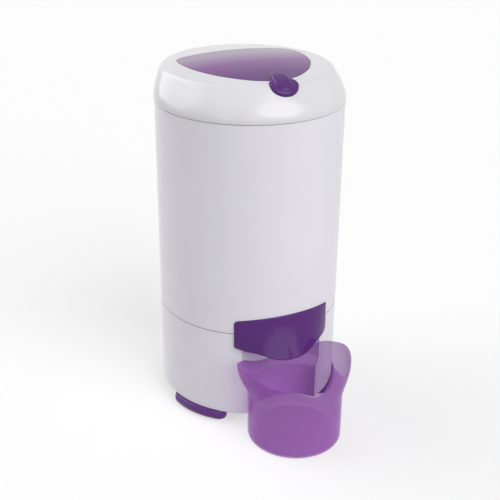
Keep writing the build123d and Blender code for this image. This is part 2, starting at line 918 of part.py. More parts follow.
def make_hub_nut():
    low = drum_bottom_z + drum_wall
    nut = hexagon(nut_r, low, low + nut_height)
    return nut - disc(shaft_r + seat, low - over, low + nut_height + over)


def make_hub_cap():
    low = drum_bottom_z + drum_wall
    dome = disc(cap_r, low, low + cap_height)
    dome = fillet(dome.edges().sort_by(Axis.Z)[-1], cap_height * cap_round_share)
    hollow = disc(cap_r - cap_wall, low - over, low + cap_height - cap_wall)
    return dome - fillet(hollow.edges().sort_by(Axis.Z)[-1], cap_height * cap_hollow_round_share)


def make_balance_ring():
    ring = tube(drum_r, drum_r - ring_width, drum_top_z, drum_top_z + ring_height)
    top = ring.edges().filter_by(GeomType.CIRCLE).group_by(Axis.Z)[-1]
    return fillet(top, ring_height / 3)


# Lid


def lid_form(inset):
    """The solid under the lid's outer face, drawn in by an inset at the sides and top."""
    sections = []
    for front, back, height in zip(lid_front_shares, lid_back_shares, lid_height_shares):
        middle = lid_r * (back - front) / 2
        r = lid_r * (back + front) / 2 - inset
        sections.append(Pos(0, middle, lid_low_z + height * lid_rise) * Circle(r))
    dome = Pos(0, lid_crown_y, lid_top_z - lid_crown_r) * Rot(90, 0, 0) * Sphere(lid_crown_r - inset)
    form = loft(sections) & dome
    shoulder = form.edges().filter_by(lambda e: e.is_closed).sort_by(Axis.Z)[-1]
    return fillet(shoulder, lid_shoulder_round - inset)


def inlay_outline(gap):
    """The inlay's outline in plan, drawn in by a gap."""
    corner = (lid_r * inlay_corner_shares[0] - gap, lid_r * inlay_corner_shares[1] - gap)
    side = (lid_r * inlay_side_shares[0] - gap, lid_r * inlay_side_shares[1] + gap)
    front = (0, lid_r * inlay_front_share + gap)
    with BuildSketch() as sketch:
        with BuildLine():
            ThreePointArc(front, side, corner)
            ThreePointArc(corner, (0, lid_r * inlay_back_share - gap), (-corner[0], corner[1]))
            ThreePointArc((-corner[0], corner[1]), (-side[0], side[1]), front)
        make_face()
        fillet(sketch.vertices().sort_by(Axis.Y)[0], inlay_front_round - gap)
        fillet(sketch.vertices().sort_by(Axis.Y)[-2:], inlay_corner_round - gap)
    return Pos(0, 0, lid_low_z) * extrude(sketch.sketch, 2 * lid_rise)


def lid_boss_places():
    return [around(lid_boss_place_r, azimuth) for azimuth in lid_boss_azimuths]


def neck_slot(gap):
    """The upright block that the lever's neck fills, grown by a gap."""
    width = 2 * (neck_half_width + gap)
    return block(width, neck_length + 2 * gap, latch_pivot_z, lid_top_z, (0, latch_pivot_y))


def latch_ear_places():
    step = latch_width / 2 + free + latch_ear / 2
    return [(-step, latch_pivot_y), (step, latch_pivot_y)]


def make_lid_shell():
    shell = lid_form(0) - lid_form(lid_wall)
    mid_wall = lid_form(lid_wall / 2)
    boss_low = liner_z + liner_wall
    for place in lid_boss_places():
        shell += disc(lid_boss_r, boss_low, lid_top_z, place) & mid_wall
    for place in latch_ear_places():
        ear = block(latch_ear, 2 * latch_hub_r, latch_pivot_z - latch_hub_r, lid_top_z, place)
        shell += ear & mid_wall
    shell -= inlay_outline(0) - lid_form(inlay_thick)
    shell -= neck_slot(latch_slot_gap)
    shell -= bar(latch_pin_r + seat, 2 * latch_width + 4 * latch_ear, latch_pivot_y, latch_pivot_z)
    for place in lid_boss_places():
        shell -= disc(screw_r + seat, boss_low - over, boss_low + lug_height, place)
    return shell


def make_lid_inlay():
    skin = lid_form(0) - lid_form(inlay_thick)
    return inlay_outline(inlay_gap) & skin


def make_lid_liner():
    top = liner_z + liner_wall
    rib_low = liner_z - liner_rib_depth
    dish_foot = liner_dish_r - liner_dish_rise
    liner = spun([
        (0, liner_z + liner_dish_rise),
        (dish_foot, liner_z + liner_dish_rise),
        (liner_dish_r, liner_z),
        (liner_rib_r - liner_rib_wall, liner_z),
        (liner_rib_r - liner_rib_wall, rib_low),
        (liner_rib_r, rib_low),
        (liner_rib_r, liner_z),
        (liner_r, liner_z),
        (liner_r, top),
        (liner_dish_r + liner_wall / 2, top),
        (dish_foot + liner_wall / 2, top + liner_dish_rise),
        (0, top + liner_dish_rise),
    ])
    liner -= hook_slot(liner_z - over, top + over)
    for place in lid_boss_places():
        liner -= disc(screw_r + seat, liner_z - over, top + over, place)
        liner -= disc(screw_head_r + seat, liner_z - over, liner_z + screw_head_height / 2, place)
    return liner


def make_lid_gasket():
    low = deck_z + free / 2
    return tube(lid_gasket_r + lid_gasket_width, lid_gasket_r, low, liner_z)


def make_lid_screws():
    head_top = liner_z + screw_head_height / 2
    screws = []
    for place in lid_boss_places():
        head = disc(screw_head_r, liner_z, head_top, place)
        screws.append(head + disc(screw_r, head_top, liner_z + lug_height, place))
    return joined(screws)


# Hinge


def hinge_leaf_on(r, low, high, half_width):
    """A curved leaf on the back of a round wall of radius r."""
    leaf = tube(r + seat + hinge_leaf, r + seat, low, high)
    return leaf & block(2 * half_width, r, low, high, (0, r))


def hinge_web(r, low, high, x_low, x_high):
    """The plate that joins a leaf on a wall of radius r to a knuckle."""
    depth = hinge_y - r / 2
    web = block(x_high - x_low, depth, low, high, ((x_low + x_high) / 2, hinge_y - depth / 2))
    return web - disc(r + seat, low - over, high + over)


def make_hinge_bracket():
    half = hinge_lid_length / 2 + hinge_gap + hinge_knuckle_length
    top = lid_seam_z - lid_gap / 2 - hinge_gap
    bracket = hinge_leaf_on(body_r, top - hinge_leaf_height, top, half)
    for side in (-1, 1):
        inner = hinge_lid_length / 2 + hinge_gap
        ends = sorted((side * inner, side * half))
        bracket += hinge_web(body_r, top - 2 * hinge_leaf, top, ends[0], ends[1])
        middle = (ends[0] + ends[1]) / 2
        bracket += bar(hinge_knuckle_r, hinge_knuckle_length, hinge_y, lid_seam_z, middle)
    return bracket - bar(hinge_pin_r + seat, 4 * half, hinge_y, lid_seam_z)


def make_lid_hinge():
    half = hinge_lid_length / 2
    low = lid_low_z + hinge_gap
    leaf = hinge_leaf_on(lid_r, low, low + hinge_leaf_height * lid_leaf_share, half)
    leaf += hinge_web(lid_r, low, low + 2 * hinge_leaf, -half, half)
    leaf += bar(hinge_knuckle_r, hinge_lid_length, hinge_y, lid_seam_z)
    return leaf - bar(hinge_pin_r + run, 2 * hinge_lid_length, hinge_y, lid_seam_z)


def make_hinge_pin():
    length = hinge_lid_length + 2 * (hinge_gap + hinge_knuckle_length)
    return bar(hinge_pin_r, length, hinge_y, lid_seam_z)


# Latch


def knob_part(outline, drop):
    """A part of the knob: its outline raised to a crowned face, a cylinder along X, with a round edge."""
    tilt = math.radians(knob_tilt)
    y = latch_pivot_y + knob_crown_shift + knob_crown_r * math.sin(tilt)
    z = latch_pivot_z + knob_crown_rise - drop - knob_crown_r * math.cos(tilt)
    part = Pos(0, 0, latch_pivot_z - latch_hub_r) * extrude(outline, lid_rise)
    part &= bar(knob_crown_r, 4 * knob_half_width, y, z)
    crown = part.faces().filter_by(GeomType.CYLINDER)
    crown = crown.filter_by(lambda f: abs(f.radius - knob_crown_r) < seat)
    return fillet(crown.edges(), knob_round)


def knob_form():
    """The knob: an oval base with a raised tongue that runs back over the inlay's edge."""
    base = Pos(0, knob_front_y + knob_half_length) * Ellipse(knob_half_width, knob_half_length)
    front = Pos(0, knob_front_y + knob_half_length) * Circle(tongue_front_r)
    back = Pos(0, tongue_back_y - tongue_back_r) * Circle(tongue_back_r)
    tongue = make_hull(front.edges() + back.edges())
    return knob_part(base, knob_base_drop) + knob_part(tongue, 0)


def about_pivot(shape, angle):
    """Turn a shape about the latch's axis; a positive angle lowers the rear."""
    pivot = Pos(0, latch_pivot_y, latch_pivot_z)
    return pivot * Rot(-angle, 0, 0) * pivot.inverse() * shape


def make_latch_lever():
    knob = knob_form()
    clear = lid_form(-knob_gap) - neck_slot(0)
    knob -= clear
    knob -= about_pivot(clear, -latch_swing)
    bend_z = deck_z + 2 * latch_hub_r
    hook_back_y = hook_front_y + hook_thick
    hook = cut_plate([
        (latch_pivot_y - hook_thick, latch_pivot_z),
        (latch_pivot_y + hook_thick / 2, latch_pivot_z),
        (hook_back_y, bend_z),
        (hook_back_y, hook_low_z),
        (hook_front_y + hook_thick / 3, hook_low_z),
        (hook_front_y, hook_low_z + hook_thick),
        (hook_front_y, bend_z),
    ], hook_width)
    lever = knob + bar(latch_hub_r, latch_width, latch_pivot_y, latch_pivot_z) + hook
    return lever - bar(latch_pin_r + run, 2 * latch_width, latch_pivot_y, latch_pivot_z)


def make_latch_pin():
    length = latch_width + 2 * (free + latch_ear)
    return bar(latch_pin_r, length, latch_pivot_y, latch_pivot_z)


# Brake


def make_brake_rod():
    place = around(rod_place_r, rod_azimuth)
    rod = disc(rod_r, rod_foot_z, deck_z + button_stand, place)
    rod = chamfer(rod.edges().sort_by(Axis.Z)[-1], rod_r / 3)
    return rod + disc(rod_foot_r, rod_foot_z, rod_foot_z + rod_foot_height, place)


def make_rod_clips():
    clips = []
    for share in clip_z_shares:
        low = mid_seam_z + share * (deck_z - mid_seam_z)
        depth = inner_r - rod_place_r + rod_r + clip_wall
        width = 2 * (rod_r + clip_wall)
        clip = block(depth, width, low, low + clip_height, (inner_r - depth / 2, 0))
        clip &= disc(inner_r - seat, low, low + clip_height)
        clip -= disc(rod_r + 2 * run, low - over, low + clip_height + over, (rod_place_r, 0))
        clips.append(radial(clip, rod_azimuth))
    return joined(clips)


def pad_face_r():
    return brake_drum_r + pad_gap


def lever_plate(points, width):
    """A plate in the lever's upright plane, from a closed outline of (radius, height) points."""
    face = make_face(Plane.XZ * Polyline(*points, close=True))
    return extrude(face, width / 2, both=True)


def lever_bar(r, length):
    """A round bar across the lever at its pivot."""
    return Pos(lever_pivot_r, 0, lever_pivot_z) * Rot(90, 0, 0) * Cylinder(r, length)


def make_brake_lever():
    foot_top = rod_foot_z + rod_foot_height + bracket_gap
    end_r = rod_place_r + rod_foot_r
    pad_back = pad_face_r() + pad_thick
    pad_top = brake_z + (brake_drum_height + pad_height) / 2
    arm = lever_plate([
        (lever_pivot_r, lever_pivot_z - lever_thick),
        (lever_pivot_r + lever_hub_r, lever_pivot_z),
        (rod_place_r - rod_foot_r, foot_top),
        (end_r, foot_top),
        (end_r, foot_top + lever_thick),
        (rod_place_r - rod_foot_r - lever_thick, foot_top + lever_thick),
        (lever_pivot_r + lever_thick / 2, lever_pivot_z + lever_thick),
        (pad_back + lever_thick, pad_top - pad_height),
        (pad_back + lever_thick, pad_top),
        (pad_back, pad_top),
        (pad_back, pad_top - pad_height),
        (lever_pivot_r - lever_hub_r, lever_pivot_z),
    ], lever_width)
    arm += lever_bar(lever_hub_r, lever_width)
    arm -= lever_bar(lever_pin_r + run, 2 * lever_width)
    slot = block(4 * rod_foot_r, 2 * (rod_r + free), foot_top - over, foot_top + 2 * lever_thick, (end_r, 0))
    return radial(arm - slot, rod_azimuth)


def make_brake_pad():
    low = brake_z + (brake_drum_height - pad_height) / 2
    face = pad_face_r()
    back = face + pad_thick
    pad = block(pad_thick + face, pad_width, low, low + pad_height, (back / 2 + pad_thick / 2, 0))
    pad &= block(2 * back, pad_width, low, low + pad_height)
    return radial(pad - disc(face, low - over, low + pad_height + over), rod_azimuth)


def make_brake_bracket():
    base_z = foot_height + pan_thick
    inner = lever_width / 2 + bracket_gap
    top = lever_pivot_z + lever_hub_r
    cheeks = block(2 * lever_hub_r, 2 * (inner + bracket_wall), base_z, top, (lever_pivot_r, 0))
    gap_low = base_z + bracket_wall
    cheeks -= block(4 * lever_hub_r, 2 * inner, gap_low, top + over, (lever_pivot_r, 0))
    cheeks -= lever_bar(lever_pin_r + seat, 4 * (inner + bracket_wall))
    return radial(cheeks, rod_azimuth)


def make_brake_pin():
    return radial(lever_bar(lever_pin_r, lever_width + 2 * (bracket_gap + bracket_wall)), rod_azimuth)


# Safety switch


def switch_screw_places():
    step = switch_width / 2 - screw_head_r
    turn = math.radians(switch_azimuth)
    x, y = around(switch_place_r, switch_azimuth)
    return [(x + side * step * math.cos(turn), y + side * step * math.sin(turn)) for side in (-1, 1)]


def make_safety_switch():
    top = deck_z - deck_wall - seat
    body = block(switch_depth, switch_width, top - switch_height, top, (switch_place_r, 0))
    body = radial(body, switch_azimuth)
    place = around(switch_place_r, switch_azimuth)
    body -= disc(button_r + free / 2, top - switch_height / 2, top + over, place)
    for place in switch_screw_places():
        body -= disc(screw_r + seat, top - switch_height / 2, top + over, place)
    return body


def make_switch_screws():
    head_low = deck_z - screw_head_height / 2
    low = deck_z - deck_wall - switch_height / 3
    screws = []
    for place in switch_screw_places():
        screws.append(disc(screw_head_r, head_low, deck_z, place) + disc(screw_r, low, head_low, place))
    return joined(screws)


def make_switch_button():
    low = deck_z - deck_wall - switch_height / 2 + 2 * free
    button = disc(button_r, low, deck_z + button_stand, around(switch_place_r, switch_azimuth))
    return chamfer(button.edges().sort_by(Axis.Z)[-1], button_r / 4)


# Electric parts


def make_capacitor():
    low = foot_height + pan_thick
    place = around(capacitor_place_r, capacitor_azimuth)
    can = disc(capacitor_r, low, low + capacitor_length, place)
    can = fillet(can.edges().sort_by(Axis.Z)[-1], capacitor_r / 8)
    for side in (-1, 1):
        tag_place = (place[0] + side * capacitor_r / 3, place[1])
        tag_top = low + capacitor_tag_share * capacitor_length
        can += block(strap_wall, capacitor_r / 3, low + capacitor_length, tag_top, tag_place)
    return can


def make_capacitor_strap():
    base = foot_height + pan_thick
    low = base + capacitor_length / 3
    inner = capacitor_r + seat
    outer = inner + strap_wall
    strap = tube(outer, inner, low, low + strap_width)
    leg = block(strap_wall, strap_width, base, low + strap_width, (-outer + strap_wall / 2, 0))
    foot = block(strap_foot, strap_width, base, base + strap_wall, (strap_wall - outer - strap_foot / 2, 0))
    strap += leg + foot
    strap -= disc(inner, base - over, low + strap_width + over)
    place = around(capacitor_place_r, capacitor_azimuth)
    return Pos(place[0], place[1], 0) * Rot(0, 0, capacitor_azimuth - 90) * strap


def make_terminal_block():
    base = foot_height + pan_thick
    body = block(terminal_depth, terminal_length, base, base + terminal_height, (terminal_place_r, 0))
    pitch = terminal_length / terminal_poles
    for index in range(terminal_poles):
        y = (index - (terminal_poles - 1) / 2) * pitch
        hole = Rot(0, 90, 0) * Cylinder(pitch / 4, 2 * terminal_depth)
        body -= Pos(terminal_place_r, y, base + terminal_height * terminal_hole_share) * hole
        well_low = base + terminal_height * terminal_well_share
        body -= disc(pitch / 5, well_low, base + 2 * terminal_height, (terminal_place_r, y))
    return radial(body, terminal_azimuth)


def make_cord_gland():
    low = inner_r - gland_depth
    high = body_r + gland_flange
    gland = gland_cut(gland_r, low, high) + gland_cut(gland_flange_r, inner_r, high)
    gland -= gland_cut(gland_flange_r + over, inner_r - over, body_r - over)
    shaft = gland_cut(gland_r, low, high)
    ring = gland - disc(body_r + seat, 0, mid_seam_z)
    return (shaft + ring) - gland_cut(gland_bore_r, low - over, high + over)


def make_gland_nut():
    low = inner_r - gland_depth + over
    nut = gland_cut(gland_flange_r, low, inner_r) & disc(inner_r - seat, 0, mid_seam_z)
    return nut - gland_cut(gland_r + seat, low - over, body_r)


# Cup


def cup_section(z, growth, inset):
    """The cup's outline at a height, between a round one and the full plan, drawn in by an inset."""
    points = []
    for azimuth, share in zip(cup_plan_azimuths, cup_plan_shares):
        r = cup_base_r + growth * (share * cup_rim_r - cup_base_r)
        points.append(around(r - inset, azimuth))
    return Pos(0, 0, z) * make_face(Spline(*points, periodic=True))


def cup_form(inset, low, base_round):
    """The cup's outer form, drawn in by an inset, from a given height up."""
    foot = Pos(0, 0, low) * extrude(cup_section(0, 0, inset), cup_flare_z - low)
    foot = fillet(foot.edges().sort_by(Axis.Z)[0], base_round)
    sections = []
    for share, growth in zip(cup_flare_z_shares, cup_growth_shares):
        z = cup_flare_z + share * (cup_crest_z - cup_flare_z)
        sections.append(cup_section(z, growth, inset))
    return foot + loft(sections)


def cup_edge(x_shares, z_shares):
    return [(cup_rim_r * x, cup_crest_z * z) for x, z in zip(x_shares, z_shares)]


def below_edge(edges, depth):
    """The space below a waved edge, from the cup's middle plane to a depth along -Y."""
    first = edges[0][0]
    last = edges[-1][-1]
    with BuildSketch(Plane.XZ) as sketch:
        with BuildLine():
            for edge in edges:
                Spline(*edge)
            Polyline(last, (last[0], -over), (first[0], -over), first)
        make_face()
    return extrude(sketch.sketch, depth)


def make_water_cup():
    cup = cup_form(0, 0, cup_base_round) - cup_form(cup_wall, cup_floor, cup_base_round - cup_wall)
    left = cup_edge(cup_left_x_shares, cup_left_z_shares)
    right = cup_edge(cup_right_x_shares, cup_right_z_shares)
    back = cup_edge(cup_back_x_shares, cup_back_z_shares)
    region = below_edge([left, right], 2 * cup_rim_r) + below_edge([back], -2 * cup_rim_r)
    return Pos(0, niche_y, 0) * (cup & region)


def make_pieces():
    """Every piece of the dryer, by the name of its node."""
    pieces = {
        "lower_housing": make_lower_housing(),
        "niche_liner": make_niche_liner(),
        "upper_housing": make_upper_housing(),
        "housing_screws": make_housing_screws(),
        "top_collar": make_top_collar(),
        "latch_catch": make_latch_catch(),
        "catch_tub": make_tub(),
        "tub_floor": make_tub_floor(),
        "tub_gasket": make_tub_gasket(),
        "drain_spout": make_drain_spout(),
        "spout_hood": make_spout_hood(),
        "base_pan": make_base_pan(),
        "foot_screws": make_foot_screws(),
        "motor_buffers": make_motor_buffers(),
        "buffer_bolts": make_buffer_bolts(),
        "motor_carrier": make_motor_carrier(),
        "motor_casing": make_motor_casing(),
        "motor_bell": make_motor_bell(),
        "bearing_lower": make_bearing(lower_bearing_z),
        "bearing_upper": make_bearing(upper_bearing_z),
        "stator_core": make_stator_core(),
        "stator_windings": make_stator_windings(),
        "rotor_core": make_rotor_core(),
        "cooling_fan": make_cooling_fan(),
        "brake_drum": make_brake_drum(),
        "drum_shaft": make_drum_shaft(),
        "shaft_bellows": make_shaft_bellows(),
        "drum_shell": make_drum_shell(),
        "drum_hub": make_drum_hub(),
        "hub_nut": make_hub_nut(),
        "hub_cap": make_hub_cap(),
        "balance_ring": make_balance_ring(),
        "lid_shell": make_lid_shell(),
        "lid_inlay": make_lid_inlay(),
        "lid_liner": make_lid_liner(),
        "lid_gasket": make_lid_gasket(),
        "lid_screws": make_lid_screws(),
        "lid_hinge": make_lid_hinge(),
        "hinge_bracket": make_hinge_bracket(),
        "hinge_pin": make_hinge_pin(),
        "latch_lever": make_latch_lever(),
        "latch_pin": make_latch_pin(),
        "brake_rod": make_brake_rod(),
        "rod_clips": make_rod_clips(),
        "brake_lever": make_brake_lever(),
        "brake_pad": make_brake_pad(),
        "brake_bracket": make_brake_bracket(),
        "brake_pin": make_brake_pin(),
        "safety_switch": make_safety_switch(),
        "switch_screws": make_switch_screws(),
        "switch_button": make_switch_button(),
        "capacitor": make_capacitor(),
        "capacitor_strap": make_capacitor_strap(),
        "terminal_block": make_terminal_block(),
        "cord_gland": make_cord_gland(),
        "gland_nut": make_gland_nut(),
        "water_cup": make_water_cup(),
    }
    for name, azimuth in foot_azimuths.items():
        pieces[name] = make_foot(azimuth)
    return pieces


os.makedirs("parts", exist_ok=True)
for name, piece in make_pieces().items():
    export_step(Pos(0, axis_y, 0) * piece, f"parts/{name}.step")
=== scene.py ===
import bpy
import bmesh
import math
from mathutils import Matrix, Vector


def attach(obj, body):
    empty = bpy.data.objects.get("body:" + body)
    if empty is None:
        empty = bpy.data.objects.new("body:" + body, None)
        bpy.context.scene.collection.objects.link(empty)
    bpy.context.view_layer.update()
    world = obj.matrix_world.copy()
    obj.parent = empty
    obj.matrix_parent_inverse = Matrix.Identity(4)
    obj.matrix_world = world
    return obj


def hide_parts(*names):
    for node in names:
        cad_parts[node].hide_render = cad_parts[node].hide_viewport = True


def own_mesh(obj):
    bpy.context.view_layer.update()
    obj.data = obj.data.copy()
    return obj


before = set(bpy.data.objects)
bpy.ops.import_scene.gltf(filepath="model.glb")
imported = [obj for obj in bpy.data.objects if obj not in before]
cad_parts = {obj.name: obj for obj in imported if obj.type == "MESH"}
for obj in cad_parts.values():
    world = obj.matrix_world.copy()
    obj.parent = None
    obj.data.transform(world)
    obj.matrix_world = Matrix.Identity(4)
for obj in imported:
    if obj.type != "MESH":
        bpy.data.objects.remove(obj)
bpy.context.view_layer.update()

scene = bpy.context.scene
scene.view_settings.view_transform = "Standard"
print("frame loaded:", len(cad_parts), "nodes")


# The housing's axis stands behind the middle of the footprint, which takes in the cup.
housingAxis = (0.0, 0.05862)

# The photograph's camera, found from the outlines of the housing and the lid
shot = {
    "place": (-0.6749, -1.4290, 1.0475),
    "heading": -24.5,
    "tilt": 25.018,
    "roll": 0.53,
    "lens": 66.61,
    "sensor": 36.0,
}


def makeCamera():
    data = bpy.data.cameras.new("camera")
    data.lens = shot["lens"]
    data.sensor_width = shot["sensor"]
    data.sensor_fit = "HORIZONTAL"
    data.clip_end = 50.0
    camera = bpy.data.objects.new("camera", data)
    turn = Matrix.Rotation(math.radians(shot["heading"]), 4, "Z")
    turn = turn @ Matrix.Rotation(math.radians(90 - shot["tilt"]), 4, "X")
    turn = turn @ Matrix.Rotation(math.radians(shot["roll"]), 4, "Z")
    camera.matrix_world = Matrix.Translation(shot["place"]) @ turn
    scene.collection.objects.link(camera)
    scene.camera = camera


# Shader sockets that take Python's operators
class Signal:
    def __init__(self, tree, socket):
        self.tree = tree
        self.socket = socket

    def math(self, operation, first, second=0.0):
        return self.tree.math(operation, first, second)

    def __add__(self, other):
        return self.math("ADD", self, other)

    def __radd__(self, other):
        return self.math("ADD", other, self)

    def __sub__(self, other):
        return self.math("SUBTRACT", self, other)

    def __rsub__(self, other):
        return self.math("SUBTRACT", other, self)

    def __mul__(self, other):
        return self.math("MULTIPLY", self, other)

    def __rmul__(self, other):
        return self.math("MULTIPLY", other, self)

    def __truediv__(self, other):
        return self.math("DIVIDE", self, other)

    def __pow__(self, other):
        return self.math("POWER", self, other)

    def clamped(self, low, high):
        return self.math("MINIMUM", self.math("MAXIMUM", self, low), high)


class Nodes:
    def __init__(self, tree, kind):
        self.nodes = tree.nodes
        self.links = tree.links
        self.nodes.clear()
        self.output = self.nodes.new(kind)

    def node(self, kind, settings=None, values=None, out=0):
        made = self.nodes.new(kind)
        for key, value in (settings or {}).items():
            if key == "stops":
                ramp = made.color_ramp
                while len(ramp.elements) < len(value):
                    ramp.elements.new(0.5)
                for element, (place, colour) in zip(ramp.elements, value):
                    element.position = place
                    element.color = colour
            else:
                setattr(made, key, value)
        for key, value in (values or {}).items():
            if isinstance(value, Signal):
                self.links.new(value.socket, made.inputs[key])
            else:
                made.inputs[key].default_value = value
        return Signal(self, made.outputs[out])

    def math(self, operation, first, second=0.0):
        return self.node("ShaderNodeMath", {"operation": operation}, {0: first, 1: second})

    def seen(self):
        looks = [self.node("ShaderNodeLightPath", out=name) for name in studio["seenBy"]]
        return (looks[0] + looks[1] + looks[2]).clamped(0.0, 1.0)

    def show(self, shader):
        self.links.new(shader.socket, self.output.inputs["Surface"])


class Finish(Nodes):
    def __init__(self, name):
        self.material = bpy.data.materials.new(name)
        self.material.use_nodes = True
        super().__init__(self.material.node_tree, "ShaderNodeOutputMaterial")

    def place(self):
        return self.node("ShaderNodeTexCoord", out="Object")

    def noise(self, scale, detail=3.0, where=None, stretch=None):
        where = where or self.place()
        if stretch:
            where = self.node("ShaderNodeMapping", None, {"Vector": where, "Scale": stretch})
        return self.node("ShaderNodeTexNoise", None, {"Vector": where, "Scale": scale, "Detail": detail})

    def axis(self, name):
        return self.node("ShaderNodeSeparateXYZ", None, {0: self.place()}, out=name)

    def blend(self, mask, first, second):
        return self.node("ShaderNodeMix", {"data_type": "RGBA"}, {"Factor": mask, 6: first, 7: second}, out=2)

    def varied(self, mask, colour, span):
        return self.blend(mask, shade(colour, 1 - span), shade(colour, 1 + span))

    def bump(self, height, depth, under=None):
        values = {"Height": height, "Distance": depth, "Strength": 1.0}
        if under:
            values["Normal"] = under
        return self.node("ShaderNodeBump", None, values)

    def surface(self, values):
        self.show(self.node("ShaderNodeBsdfPrincipled", None, values))
        return self.material


def opaque(colour):
    return (*colour, 1.0)


def shade(colour, factor):
    return (*(min(1.0, part * factor) for part in colour), 1.0)


# A fine painted shadow: a dark line is painted where the housing's two halves meet.
seamShadow = {"height": 0.1955, "half": 0.0005, "soft": 0.0006, "shade": 0.62, "colour": (0.05, 0.045, 0.055)}

# Moulded plastics: a slow change of tone and gloss, and the fine skin of the mould.
# Scales are marks to a metre. An edge is the radius over which the shading rounds a piece's edges.
mould = {
    "toneScale": 9.0,
    "toneSpan": 0.03,
    "skinScale": 1400.0,
    "glossScale": 35.0,
    "glossSpan": 0.03,
    "samples": 10,
}
plastics = {
    "housingWhite": {"colour": (0.74, 0.72, 0.78), "rough": 0.24, "grain": 0.000008, "gloss": 1.45},
    "lidWhite": {"colour": (0.665, 0.655, 0.69), "rough": 0.2, "grain": 0.000008, "gloss": 1.5},
    # painted light: the niche's liner is the housing's white plastic made paler, standing in for light that the
    # hood keeps out
    "nicheLitWhite": {"colour": (0.88, 0.87, 0.92), "rough": 0.3, "grain": 0.000008, "gloss": 1.45},
    "innerWhite": {"colour": (0.72, 0.71, 0.75), "rough": 0.38, "grain": 0.00004, "gloss": 1.45},
    "tubPale": {"colour": (0.62, 0.63, 0.66), "rough": 0.42, "grain": 0.00005, "gloss": 1.45},
    "partGrey": {"colour": (0.33, 0.33, 0.36), "rough": 0.45, "grain": 0.00006, "gloss": 1.45},
    "partBlack": {"colour": (0.022, 0.022, 0.025), "rough": 0.42, "grain": 0.00008, "gloss": 1.45},
    "deepPurple": {"colour": (0.082, 0.011, 0.157),
                   "rough": 0.12, "grain": 0.000008, "gloss": 1.36, "edge": 0.0022},
    "footPurple": {"colour": (0.095, 0.014, 0.175),
                   "rough": 0.1, "grain": 0.000008, "gloss": 1.45, "edge": 0.003},
}


def makePlastic(name):
    look = plastics[name]
    finish = Finish(name)
    tone = finish.noise(mould["toneScale"], 2.0)
    colour = finish.varied(tone, look["colour"], mould["toneSpan"])
    # painted shadow: the white is darkened in a thin band along the seam between the housing's halves
    if name == "housingWhite":
        away = finish.math("ABSOLUTE", finish.axis("Z") - seamShadow["height"])
        near = (1 - (away - seamShadow["half"]) / seamShadow["soft"]).clamped(0.0, 1.0)
        colour = finish.blend(near * seamShadow["shade"], colour, opaque(seamShadow["colour"]))
    rough = look["rough"] - mould["glossSpan"] + finish.noise(mould["glossScale"]) * (2 * mould["glossSpan"])
    edge = None
    if "edge" in look:
        edge = finish.node("ShaderNodeBevel", {"samples": mould["samples"]}, {"Radius": look["edge"]})
    normal = finish.bump(finish.noise(mould["skinScale"], 2.0), look["grain"], under=edge)
    return finish.surface({"Base Color": colour, "Roughness": rough, "Normal": normal, "IOR": look["gloss"]})


# The lid's inlay: a tinted skin that is greyer towards the hinge
inlayLook = {
    "front": (0.10, 0.013, 0.165),
    "middle": (0.18, 0.042, 0.235),
    "back": (0.31, 0.235, 0.35),
    "from": -0.02,
    "to": 0.115,
    "rough": 0.12,
    "glossScale": 40.0,
    "glossSpan": 0.04,
    "grain": 0.000006,
    "gloss": 1.25,
}


def makeInlayFinish():
    finish = Finish("inlayTint")
    along = (finish.axis("Y") - inlayLook["from"]) / (inlayLook["to"] - inlayLook["from"])
    colours = [inlayLook[name] for name in ("front", "middle", "back")]
    stops = [(place, opaque(colour)) for place, colour in zip((0.0, 0.5, 1.0), colours)]
    colour = finish.node("ShaderNodeValToRGB", {"stops": stops}, {0: along.clamped(0.0, 1.0)})
    normal = finish.bump(finish.noise(mould["skinScale"], 2.0), inlayLook["grain"])
    rough = inlayLook["rough"] + finish.noise(inlayLook["glossScale"]) * inlayLook["glossSpan"]
    return finish.surface({"Base Color": colour, "Roughness": rough, "Normal": normal, "IOR": inlayLook["gloss"]})


# The cup: tinted plastic that light passes through, denser where it is seen edge on.
# The light that it lets through to its shadow is only tinted.
cupLook = {
    "colour": (0.345, 0.108, 0.445),
    "tint": (0.885, 0.785, 0.92),
    "clear": 0.80,
    "edge": 0.34,
    "slant": 0.3,
    "toneScale": 14.0,
    "toneSpan": 0.05,
    "rough": 0.16,
    "glossScale": 60.0,
    "glossSpan": 0.05,
    "skinScale": 700.0,
    "grain": 0.00001,
    "gloss": 1.5,
}


def makeCupFinish():
    finish = Finish("cupLilac")
    colour = finish.varied(finish.noise(cupLook["toneScale"], 2.0), cupLook["colour"], cupLook["toneSpan"])
    rough = cupLook["rough"] + finish.noise(cupLook["glossScale"]) * cupLook["glossSpan"]
    normal = finish.bump(finish.noise(cupLook["skinScale"], 2.0), cupLook["grain"])
    slant = finish.node("ShaderNodeLayerWeight", None, {"Blend": cupLook["slant"]}, out="Facing")
    clear = cupLook["clear"] - slant * (cupLook["clear"] - cupLook["edge"])
    shadow = finish.node("ShaderNodeLightPath", out="Is Shadow Ray")
    clear = clear + (1 - clear) * shadow
    body = finish.node("ShaderNodeBsdfPrincipled", None,
                       {"Base Color": colour, "Roughness": rough, "Normal": normal, "IOR": cupLook["gloss"]})
    through = finish.node("ShaderNodeBsdfTransparent", None, {"Color": opaque(cupLook["tint"])})
    finish.show(finish.node("ShaderNodeMixShader", None, {0: clear, 1: body, 2: through}))
    return finish.material


